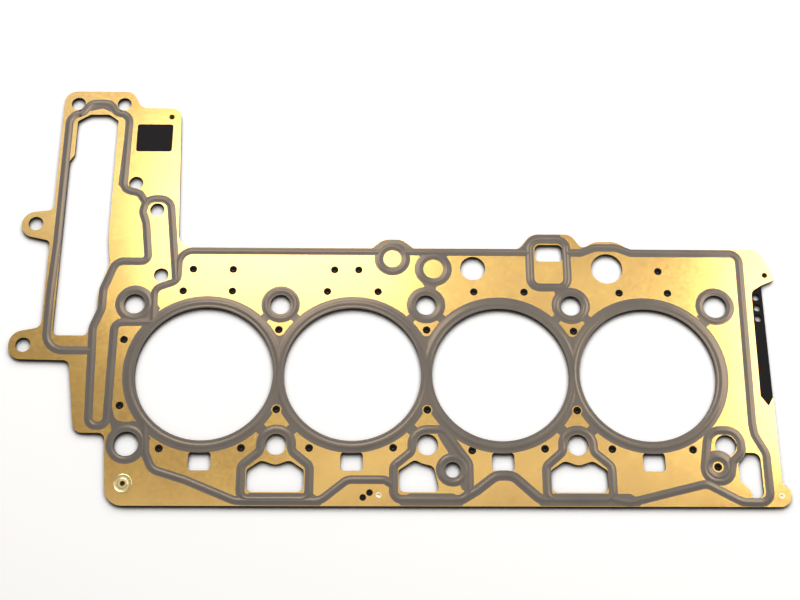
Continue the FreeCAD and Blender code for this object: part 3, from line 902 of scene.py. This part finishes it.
    def neck(self, x: float, y: float, tip: tuple[float, float],
             corner: tuple[float, float], width: float = 3.4) -> None:
        """Print a bridge between a bolt ring and the cylinder ring beside it.

        Args:
            x: Bolt hole's centre along the row.
            y: Bolt hole's centre across it.
            tip: Outer end of the bridge, counted from the bolt hole.
            corner: Inner end of the bridge, counted from the bolt hole.
            width: Width of the bridge, whose sides lie under the rings.
        """
        start = Vector((x + tip[0], y + tip[1], 0.0))
        end = Vector((x + corner[0], y + corner[1], 0.0))
        across = UP.cross((end - start).normalized()) * width / 2
        points = (start - across, end - across, end + across, start + across)
        self.coat.patch(tuple((point.x, point.y, 0.0) for point in points))

    def necks(self) -> None:
        """Bridges beside the bolt holes between two cylinders, and at the far dowel."""
        row = self.deck.bolt_row
        # Gap and side where the field beside the narrow oil window takes the bridge's place
        replaced = (1, 1)
        for i in range(self.deck.cylinders - 1):
            x = self.deck.at(i + 0.5)
            for side in (-1, 1):
                self.neck(x, row, (side * 11.1, -6.4), (side * 7.2, -10.5))
                if (i, side) != replaced:
                    self.neck(x, -row, (side * 11.4, 6.7), (side * 7.0, 11.5))
        self.neck(self.deck.at(3.5), row, (-10.9, -5.6), (-5.5, -12.8))

    def edge_bands(self) -> None:
        """Wider print under the oil windows, as far as the front edge."""
        edge = self.deck.front + self.deck.margin
        middle = self.deck.loop_base - 0.9
        inner = self.deck.loop_base + 3.6
        for x0, x1 in ((25.6, 72.7), (120.6, 156.8), (203.6, 262.5)):
            self.coat.patch(((x0 + 5.0, inner, 1.0), (x0 - 2.5, middle, 2.0), (x0, edge, 1.0),
                             (x1, edge, 1.0), (x1 + 2.5, middle, 2.0), (x1 - 5.0, inner, 1.0)))
        self.coat.patch(((321.0, middle, 1.0), (323.5, edge, 1.0), (338.5, edge, 3.0),
                         (341.0, middle + 0.5, 2.0)))

    def fields(self) -> None:
        """Flat print that fills the corners where rings and tracks run together."""
        fillet = 0.4
        back_corner = ((-36.5, 52.3), (-33.0, 52.3), (-31.0, 43.5), (-29.5, 41.7), (-31.5, 36.0),
                       (-38.0, 31.5), (-46.0, 31.5), (-53.9, 35.0), (-50.5, 37.0), (-45.5, 36.0),
                       (-40.5, 37.8), (-37.3, 41.5), (-36.8, 46.0), (-38.5, 50.5))
        dowel_corner = ((-54.4, -33.0), (-56.2, -29.5), (-55.8, -22.5), (-54.2, -22.5),
                        (-52.8, -27.6), (-50.8, -30.1), (-46.0, -31.3), (-40.2, -30.4),
                        (-38.0, -31.5), (-34.0, -36.0), (-29.8, -40.9), (-31.0, -44.5),
                        (-32.5, -53.0), (-34.0, -53.0), (-36.5, -49.5), (-35.6, -44.5),
                        (-37.5, -38.9), (-44.3, -35.8), (-50.0, -38.2), (-53.6, -36.3))
        narrow_side = ((145.0, -33.2), (151.4, -39.7), (156.2, -46.2), (162.0, -53.8),
                       (163.8, -59.2), (163.6, -68.9), (161.6, -73.4), (157.2, -71.9),
                       (155.8, -69.3), (159.6, -64.4), (159.8, -56.2), (153.1, -50.1),
                       (149.0, -49.7), (148.6, -48.5), (145.7, -44.0), (142.7, -38.6))
        blind_top = ((132.1, 77.7), (134.5, 75.5), (141.3, 77.0), (148.5, 75.5), (150.9, 77.8),
                     (150.9, 80.0), (132.1, 80.0))
        blind_foot = ((135.4, 57.3), (134.0, 59.6), (144.5, 59.3), (143.1, 56.2), (142.5, 54.0),
                      (136.0, 54.0))
        port_foot = ((217.7, 52.3), (217.7, 55.0), (222.0, 55.0), (220.0, 51.5))
        case_side = ((-60.2, 171.0), (-61.9, 126.2), (-59.7, 123.3), (-53.8, 118.7),
                     (-50.0, 120.5), (-57.0, 126.0), (-57.5, 171.0))
        case_arch = ((-86.0, 180.5), (-83.7, 179.4), (-76.1, 181.2), (-71.2, 178.9),
                     (-69.0, 180.5), (-73.0, 184.5), (-82.5, 184.5))
        for corners in (back_corner, dowel_corner, narrow_side, blind_top, blind_foot,
                        port_foot, case_side, case_arch):
            self.coat.patch(tuple((x, y, fillet) for x, y in corners))

    def bumps(self) -> None:
        """Print that covers the back edge's ring bump, and the left flank of its port bump."""
        deck = self.deck
        edge = deck.back - deck.margin
        ring = [(8.5, 80.2, 0), (8.5, edge, 0), (11.4, edge, 4.0), (18.7, edge + 6.3, 9.8),
                (30.3, edge + 6.3, 9.8), (37.9, edge, 4.0), (40.8, edge, 0), (40.8, 80.2, 0),
                (33.5, 80.2, 0), (30.0, 82.6, 0), (24.4, 83.9, 0), (18.8, 82.6, 0), (15.3, 80.2, 0)]
        port = [(10.5, 80.3, 0), (10.5, edge, 0), (14.5, edge, 6.0), (22.4, edge + 10.2, 8.8),
                (41.0, edge + 10.2, 0), (41.0, 89.3, 0), (24.0, 89.3, 3.0), (21.0, 86.0, 0),
                (21.0, 80.3, 0)]
        self.coat.patch(deck.shift(1, ring))
        self.coat.patch(deck.shift(2, port))

    def web_holes(self) -> None:
        """Print round the small coolant holes in the webs: closed behind, bare in front."""
        bare_radius = 3.1
        for i in range(self.deck.cylinders - 1):
            x = self.deck.at(i + 0.5)
            self.coat.patch(((x - 3.0, 25.6, 0), (x - 1.5, 24.3, 0), (x, 23.9, 0),
                             (x + 1.5, 24.3, 0), (x + 3.0, 25.6, 0), (x + 2.5, 19.0, 0),
                             (x - 2.5, 19.0, 0)))
        for station, dx, y in ((0.5, -0.5, -23.0), (1.5, 0.2, -23.0), (2.5, 0.6, -23.1)):
            self.coat.clear(self.deck.at(station, dx), y, bare_radius)

    def build(self) -> bpy.types.Object:
        """Print the whole face.

        Returns:
            The finished piece.
        """
        self.cylinder_rings()
        self.bolt_rings()
        self.small_rings()
        self.loops()
        self.tracks()
        self.necks()
        self.edge_bands()
        self.fields()
        self.bumps()
        self.web_holes()
        return self.coat.finish(f"seal_print_{self.face.value}", self.face, self.level)


@dataclass
class Gasket:
    """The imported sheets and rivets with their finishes, and the print on both faces."""

    nodes: dict[str, bpy.types.Object]
    deck: Deck = field(default_factory=Deck)

    def levels(self) -> dict[Face, float]:
        """Heights of the two coated faces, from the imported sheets.

        Returns:
            Height in millimetres by face.
        """
        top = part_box("upper_sheet")[1][2] / MM - self.deck.bead_height
        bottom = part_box("lower_sheet")[0][2] / MM + self.deck.bead_height
        return {Face.UPPER: top, Face.LOWER: bottom}

    def dress(self) -> None:
        """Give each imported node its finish."""
        gold = GoldLacquer().build()
        # Phosphated before it is stacked: a dull edge in every opening, whose colour is taken down to
        # nearly black as painted shade for the shadow there
        carrier = Steel("phosphated_carrier_steel_with_painted_shade", "161313", 0.0, 0.6, sheen=0.15).build()
        # Cold-rolled and bare: a plain grey gleam
        stopper = Steel("stainless_stopper_strip", "8c8a86", 1.0, 0.3).build()
        # Yellow-passivated zinc: a pale gold shine, brighter than the lacquer round it
        rivet = Steel("zinc_plated_rivet_steel", "fae3a4", 1.0, 0.26, 0.8).build()
        # Pale passivated points; at the far corners their colour is painted dark olive as painted
        # reflection, where their dimples mirror dark surroundings
        clinch = Steel("passivated_clinch_rivet_steel_painted_reflection", "fff0c4", 1.0, 0.36, 0.8,
                       far_reflection_colour="2e2810").build()
        finishes = {"upper_sheet": gold, "lower_sheet": gold, "carrier_sheet": carrier,
                    "hollow_rivet": rivet, "clinch_rivets": clinch}
        for name, node in self.nodes.items():
            finish = finishes.get(name, stopper)
            for slot in node.material_slots:
                slot.material = finish
            LOG.info("dressed %s in %s", name, finish.name)

    def build(self) -> None:
        """Dress the nodes and print both faces."""
        self.dress()
        rubber = SealRubber().build()
        for face, level in self.levels().items():
            piece = SealPrint(self.deck, face, level).build()
            piece.data.materials.append(rubber)
            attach(piece, "root")
            LOG.info("%s: %d faces", piece.name, len(piece.data.polygons))


# Studio

@dataclass
class Studio:
    """Camera at the photograph's angle, pale floor and soft lights, in metres and degrees."""

    lens: float = 54.18
    place: tuple[float, float, float] = (0.105911, -0.205339, 0.713826)
    azimuth: float = 3.2252
    elevation: float = 70.3968
    roll: float = 3.3357
    clearance_mm: float = 0.08
    floor_half: float = 6.0
    floor_glow: float = 0.24
    floor_tone: str = "f6f4f2"
    shadow_tone: str = "3c3835"
    shadow_mm: float = 7.0
    lamp_height: float = 0.71
    overhead: float = 0.38

    def camera(self) -> None:
        """Set the camera up and make it the scene's."""
        azimuth, elevation, roll = map(math.radians, (self.azimuth, self.elevation, self.roll))
        forward = Vector((math.sin(azimuth) * math.cos(elevation),
                          math.cos(azimuth) * math.cos(elevation), -math.sin(elevation)))
        level = Vector((math.cos(azimuth), -math.sin(azimuth), 0.0))
        above = level.cross(forward)
        right = level * math.cos(roll) + above * math.sin(roll)
        top = above * math.cos(roll) - level * math.sin(roll)
        data = bpy.data.cameras.new("camera")
        data.lens = self.lens
        data.sensor_width = 36.0
        data.clip_start = 0.01
        camera = bpy.data.objects.new("camera", data)
        camera.matrix_world = Matrix.Translation(self.place) @ Matrix(
            (right, top, -forward)).transposed().to_4x4()
        bpy.context.scene.collection.objects.link(camera)
        bpy.context.scene.camera = camera

    def floor(self) -> None:
        """Lay a large white table top, which glows a little where it is seen or mirrored, and carries a
        painted contact shadow.
        """
        bm = bmesh.new()
        bmesh.ops.create_grid(bm, x_segments=1, y_segments=1, size=self.floor_half)
        bmesh.ops.translate(bm, verts=bm.verts, vec=-UP * self.clearance_mm * MM)
        mesh = bpy.data.meshes.new("floor")
        bm.to_mesh(mesh)
        bm.free()
        table = bpy.data.objects.new("floor", mesh)
        bpy.context.scene.collection.objects.link(table)
        material, shader = new_material("white_table")
        tree = material.node_tree
        path = add_node(tree, "LightPath")
        seen = add_node(tree, "Math", {"operation": "MAXIMUM"}, links={
            0: path.outputs["Is Camera Ray"], 1: path.outputs["Is Glossy Ray"]})
        # Painted shadow: the floor's colour and glow darken where the gasket stands close behind it, as a
        # contact shadow would
        behind = add_node(tree, "CombineXYZ", values={"Y": 0.75, "Z": 0.66})
        open_sky = add_node(tree, "AmbientOcclusion", {"samples": 8},
                            {"Distance": self.shadow_mm * MM},
                            {"Normal": behind.outputs[0]}).outputs["AO"]
        fade = add_node(tree, "MapRange", values={
            "From Min": 0.5, "From Max": 0.9, "To Max": self.floor_glow},
            links={"Value": open_sky})
        shade = add_node(tree, "MapRange", values={"From Min": 0.48, "From Max": 0.76},
                         links={"Value": open_sky})
        tone = add_node(tree, "Mix", {"data_type": "RGBA"},
                        {MIX_A: linear(self.shadow_tone), MIX_B: linear(self.floor_tone)},
                        {"Factor": shade.outputs[0]})
        glow = add_node(tree, "Math", {"operation": "MULTIPLY"},
                        links={0: seen.outputs[0], 1: fade.outputs[0]})
        set_inputs(tree, shader, {"Roughness": 0.9, "Emission Color": linear("ffffff")},
                   {"Base Color": tone.outputs[MIX_RESULT], "Emission Strength": glow.outputs[0]})
        mesh.materials.append(material)

    def lamp(self, name: str, box: tuple[float, float, float, float], radiance: float,
             colour: str = "ffffff", tilt: float = 0.0) -> None:
        """Hang one soft box that shines straight down, or is tilted towards the front.

        Args:
            name: Its name.
            box: Lowest X, lowest Y, highest X and highest Y while level, in metres.
            radiance: How bright its face looks, where 1 is white.
            colour: Its colour.
            tilt: Angle that it is tilted about its long side, in degrees.
        """
        x0, y0, x1, y1 = box
        data = bpy.data.lights.new(name, "AREA")
        data.shape = "RECTANGLE"
        data.size, data.size_y = x1 - x0, y1 - y0
        data.energy = radiance * math.pi * data.size * data.size_y
        data.color = linear(colour)[:3]
        lamp = bpy.data.objects.new(name, data)
        lamp.location = ((x0 + x1) / 2, (y0 + y1) / 2, self.lamp_height)
        lamp.rotation_euler.x = -math.radians(tilt)
        lamp.visible_camera = False
        bpy.context.scene.collection.objects.link(lamp)

    def world(self) -> None:
        """Surroundings that are pale at the horizon and dimmer overhead."""
        world = bpy.data.worlds.new("studio")
        world.use_nodes = True
        bpy.context.scene.world = world
        tree = world.node_tree
        ground = tree.nodes["Background"]
        direction = add_node(tree, "TexCoord").outputs["Generated"]
        parts = add_node(tree, "SeparateXYZ", links={"Vector": direction})
        level = add_node(tree, "MapRange", {"interpolation_type": "SMOOTHSTEP"}, values={
            "From Min": 0.08, "From Max": 0.4, "To Min": 1.0, "To Max": self.overhead},
            links={"Value": parts.outputs["Z"]})
        ground.inputs["Color"].default_value = linear("fffdfa")
        tree.links.new(level.outputs[0], ground.inputs["Strength"])

    def build(self) -> None:
        """Set the whole studio up."""
        scene = bpy.context.scene
        scene.view_settings.view_transform = "Standard"
        self.camera()
        self.floor()
        self.world()
        self.lamp("back_box", (-0.19, 0.278, 0.15, 0.55), 4.3)
        self.lamp("left_panel", (-0.37, 0.375, -0.23, 0.62), 1.1, "cedcff")
        self.lamp("middle_panel", (0.18, 0.26, 0.47, 0.37), 0.85)
        self.lamp("right_box", (0.54, 0.09, 0.95, 0.47), 4.7)
        self.lamp("front_panel", (0.0, 0.03, 0.49, 0.14), 0.8)
        self.lamp("corner_panel", (-0.30, -0.03, 0.0, 0.05), 0.75)
        # Low and from behind, so that its shadows fall towards the front
        self.lamp("low_back_box", (-0.68, 0.90, 0.92, 1.50), 3.0, tilt=59.0)


def main() -> None:
    """Load the frame, and build the gasket's looks and the studio."""
    logging.basicConfig(level=logging.INFO, format="%(name)s: %(message)s")
    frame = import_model()
    Gasket(frame["nodes"]).build()
    Studio().build()


if __name__ == "__main__":
    main()
